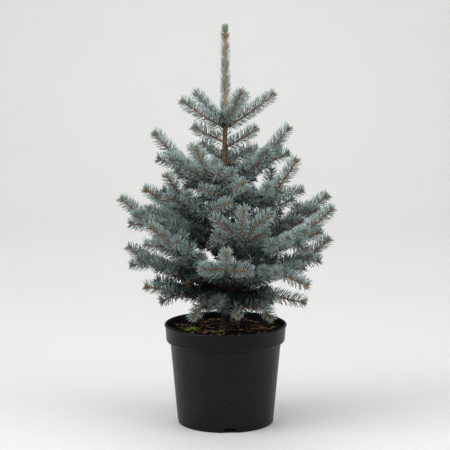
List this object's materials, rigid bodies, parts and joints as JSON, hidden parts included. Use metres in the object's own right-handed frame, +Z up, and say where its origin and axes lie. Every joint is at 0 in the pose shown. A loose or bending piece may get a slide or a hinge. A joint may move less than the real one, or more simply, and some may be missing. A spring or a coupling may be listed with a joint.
{
  "type": "potted blue spruce",
  "caption": "Young blue spruce with a slim leader and whorls of needled boughs, growing in a tapered round plastic nursery pot with a banded rim.",
  "frame": {"origin": "centre of the pot's flat underside", "axes": "+Z up along the trunk, +X to the plant's right, -Y towards the front"},
  "size_m": [0.492, 0.4402, 0.911],
  "materials": {
    "pot_plastic": "satin",
    "compost": "matte",
    "moss": "matte",
    "bark": "matte",
    "needles": "matte"
  },
  "bodies": {
    "root": {"pot": "pot_plastic", "compost": "compost", "moss_left": "moss", "trunk": "bark", "needles_leader": "needles", "needles_crown_right": "needles", "needles_crown_front": "needles", "needles_crown_left": "needles", "needles_crown_back_left": "needles", "needles_crown_back": "needles", "needles_upper_left": "needles", "needles_upper_right": "needles", "needles_upper_back_left": "needles", "needles_upper_back_right": "needles", "needles_high_left": "needles", "needles_high_front": "needles", "needles_high_right": "needles", "needles_high_back_right": "needles", "needles_high_back_left": "needles", "needles_mid_right": "needles", "bough_mid_right": "bark", "needles_mid_left": "needles", "bough_mid_left": "bark", "needles_mid_side_left": "needles", "needles_mid_front": "needles", "needles_mid_front_right": "needles", "needles_mid_back": "needles", "bough_mid_back": "bark", "needles_wide_left": "needles", "bough_wide_left": "bark", "needles_wide_right": "needles", "bough_wide_right": "bark", "needles_wide_front_right": "needles", "bough_wide_front_right": "bark", "needles_wide_front": "needles", "bough_wide_front": "bark", "needles_wide_back_right": "needles", "bough_wide_back_right": "bark", "needles_wide_back_left": "needles", "bough_wide_back_left": "bark", "needles_low_front_left": "needles", "bough_low_front_left": "bark", "needles_low_left": "needles", "bough_low_left": "bark", "needles_low_front": "needles", "bough_low_front": "bark", "needles_low_front_right": "needles", "bough_low_front_right": "bark", "needles_low_right": "needles", "bough_low_right": "bark", "needles_low_back_right": "needles", "bough_low_back_right": "bark", "needles_low_back_left": "needles", "bough_low_back_left": "bark", "needles_foot_left": "needles", "needles_foot_front_left": "needles", "needles_foot_front": "needles", "needles_foot_front_right": "needles", "needles_foot_right": "needles", "needles_foot_back": "needles"}
  },
  "joints": []
}
